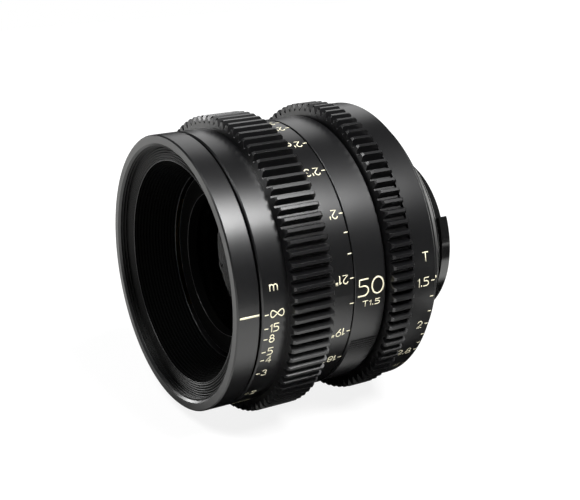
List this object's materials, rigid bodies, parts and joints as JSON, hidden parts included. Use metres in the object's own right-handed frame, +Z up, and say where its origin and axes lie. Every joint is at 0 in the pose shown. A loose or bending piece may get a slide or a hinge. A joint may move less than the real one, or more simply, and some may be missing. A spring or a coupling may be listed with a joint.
{
  "type": "cinema prime lens",
  "caption": "Compact cinema prime lens with geared focus and iris rings, a sliding optical cell, a bladed iris and a bayonet mount.",
  "frame": {"origin": "centre of the bayonet's seat plane, on the optical axis", "axes": "+Y along the optical axis toward the camera, so the front glass looks along -Y; +Z up; the index marks are on the +X side"},
  "size_m": [0.072, 0.066, 0.072],
  "materials": {
    "satin_black_anodised": "satin",
    "gear_black_anodised": "satin gloss",
    "dark_mount_metal": "gloss",
    "matt_black_interior": "matt",
    "coated_glass": "polished",
    "brass": "turned",
    "steel": "turned",
    "bearing_plastic": "matt",
    "black_blade_metal": "matt"
  },
  "bodies": {
    "barrel": {"front_ring": "satin_black_anodised", "front_baffle": "matt_black_interior", "core_sleeve": "satin_black_anodised", "fixed_barrel": "satin_black_anodised", "rear_housing": "satin_black_anodised", "bayonet_mount": "dark_mount_metal", "mount_screws": "steel", "front_set_screws": "steel", "barrel_set_screws": "steel", "focus_stop_pin": "steel", "focus_bush": "brass", "iris_thrust_ring": "bearing_plastic"},
    "focus": {"focus_ring": "gear_black_anodised", "helicoid_ring": "brass"},
    "cell": {"front_cell": "matt_black_interior", "front_retainer": "matt_black_interior", "front_element": "coated_glass", "inner_spacer": "matt_black_interior", "second_element": "coated_glass", "third_element": "coated_glass", "iris_housing": "matt_black_interior", "rear_cell": "matt_black_interior", "fourth_element": "coated_glass", "fifth_element": "coated_glass", "rear_spacer": "matt_black_interior", "rear_element": "coated_glass", "rear_retainer": "matt_black_interior"},
    "iris": {"iris_ring": "gear_black_anodised", "iris_drive_bar": "steel"},
    "cam": {"iris_cam_plate": "matt_black_interior"},
    "blade_1": {"iris_blade_1": "black_blade_metal"},
    "blade_2": {"iris_blade_2": "black_blade_metal"},
    "blade_3": {"iris_blade_3": "black_blade_metal"},
    "blade_4": {"iris_blade_4": "black_blade_metal"},
    "blade_5": {"iris_blade_5": "black_blade_metal"},
    "blade_6": {"iris_blade_6": "black_blade_metal"},
    "blade_7": {"iris_blade_7": "black_blade_metal"},
    "blade_8": {"iris_blade_8": "black_blade_metal"},
    "blade_9": {"iris_blade_9": "black_blade_metal"},
    "blade_10": {"iris_blade_10": "black_blade_metal"},
    "blade_11": {"iris_blade_11": "black_blade_metal"},
    "blade_12": {"iris_blade_12": "black_blade_metal"}
  },
  "joints": [
    {"name": "focus_turn", "type": "hinge", "parent": "barrel", "child": "focus", "pos_m": [0, -0.042, 0], "axis": [0, -1, 0], "range_deg": [0, 214]},
    {"name": "cell_slide", "type": "slide", "parent": "barrel", "child": "cell", "axis": [0, -1, 0], "range_m": [0, 0.0072]},
    {"name": "iris_turn", "type": "hinge", "parent": "barrel", "child": "iris", "pos_m": [0, -0.015, 0], "axis": [0, -1, 0], "range_deg": [0, 104]},
    {"name": "cam_turn", "type": "hinge", "parent": "cell", "child": "cam", "pos_m": [0, -0.022, 0], "axis": [0, -1, 0], "range_deg": [0, 104]},
    {"name": "blade_1_swing", "type": "hinge", "parent": "cell", "child": "blade_1", "pos_m": [0.0216, -0.0235, 0], "axis": [0, 1, 0], "range_deg": [0, 37]},
    {"name": "blade_2_swing", "type": "hinge", "parent": "cell", "child": "blade_2", "pos_m": [0.01871, -0.0235, -0.0108], "axis": [0, 1, 0], "range_deg": [0, 37]},
    {"name": "blade_3_swing", "type": "hinge", "parent": "cell", "child": "blade_3", "pos_m": [0.0108, -0.0235, -0.01871], "axis": [0, 1, 0], "range_deg": [0, 37]},
    {"name": "blade_4_swing", "type": "hinge", "parent": "cell", "child": "blade_4", "pos_m": [0, -0.0235, -0.0216], "axis": [0, 1, 0], "range_deg": [0, 37]},
    {"name": "blade_5_swing", "type": "hinge", "parent": "cell", "child": "blade_5", "pos_m": [-0.0108, -0.0235, -0.01871], "axis": [0, 1, 0], "range_deg": [0, 37]},
    {"name": "blade_6_swing", "type": "hinge", "parent": "cell", "child": "blade_6", "pos_m": [-0.01871, -0.0235, -0.0108], "axis": [0, 1, 0], "range_deg": [0, 37]},
    {"name": "blade_7_swing", "type": "hinge", "parent": "cell", "child": "blade_7", "pos_m": [-0.0216, -0.0235, 0], "axis": [0, 1, 0], "range_deg": [0, 37]},
    {"name": "blade_8_swing", "type": "hinge", "parent": "cell", "child": "blade_8", "pos_m": [-0.01871, -0.0235, 0.0108], "axis": [0, 1, 0], "range_deg": [0, 37]},
    {"name": "blade_9_swing", "type": "hinge", "parent": "cell", "child": "blade_9", "pos_m": [-0.0108, -0.0235, 0.01871], "axis": [0, 1, 0], "range_deg": [0, 37]},
    {"name": "blade_10_swing", "type": "hinge", "parent": "cell", "child": "blade_10", "pos_m": [0, -0.0235, 0.0216], "axis": [0, 1, 0], "range_deg": [0, 37]},
    {"name": "blade_11_swing", "type": "hinge", "parent": "cell", "child": "blade_11", "pos_m": [0.0108, -0.0235, 0.01871], "axis": [0, 1, 0], "range_deg": [0, 37]},
    {"name": "blade_12_swing", "type": "hinge", "parent": "cell", "child": "blade_12", "pos_m": [0.01871, -0.0235, 0.0108], "axis": [0, 1, 0], "range_deg": [0, 37]}
  ],
  "couplings": [
    {"joint": "cell_slide", "follows": "focus_turn", "m_per_rad": 0.0019277},
    {"joint": "cam_turn", "follows": "iris_turn", "ratio": 1},
    {"joint": "blade_1_swing", "follows": "iris_turn", "ratio": 0.35577},
    {"joint": "blade_2_swing", "follows": "iris_turn", "ratio": 0.35577},
    {"joint": "blade_3_swing", "follows": "iris_turn", "ratio": 0.35577},
    {"joint": "blade_4_swing", "follows": "iris_turn", "ratio": 0.35577},
    {"joint": "blade_5_swing", "follows": "iris_turn", "ratio": 0.35577},
    {"joint": "blade_6_swing", "follows": "iris_turn", "ratio": 0.35577},
    {"joint": "blade_7_swing", "follows": "iris_turn", "ratio": 0.35577},
    {"joint": "blade_8_swing", "follows": "iris_turn", "ratio": 0.35577},
    {"joint": "blade_9_swing", "follows": "iris_turn", "ratio": 0.35577},
    {"joint": "blade_10_swing", "follows": "iris_turn", "ratio": 0.35577},
    {"joint": "blade_11_swing", "follows": "iris_turn", "ratio": 0.35577},
    {"joint": "blade_12_swing", "follows": "iris_turn", "ratio": 0.35577}
  ]
}
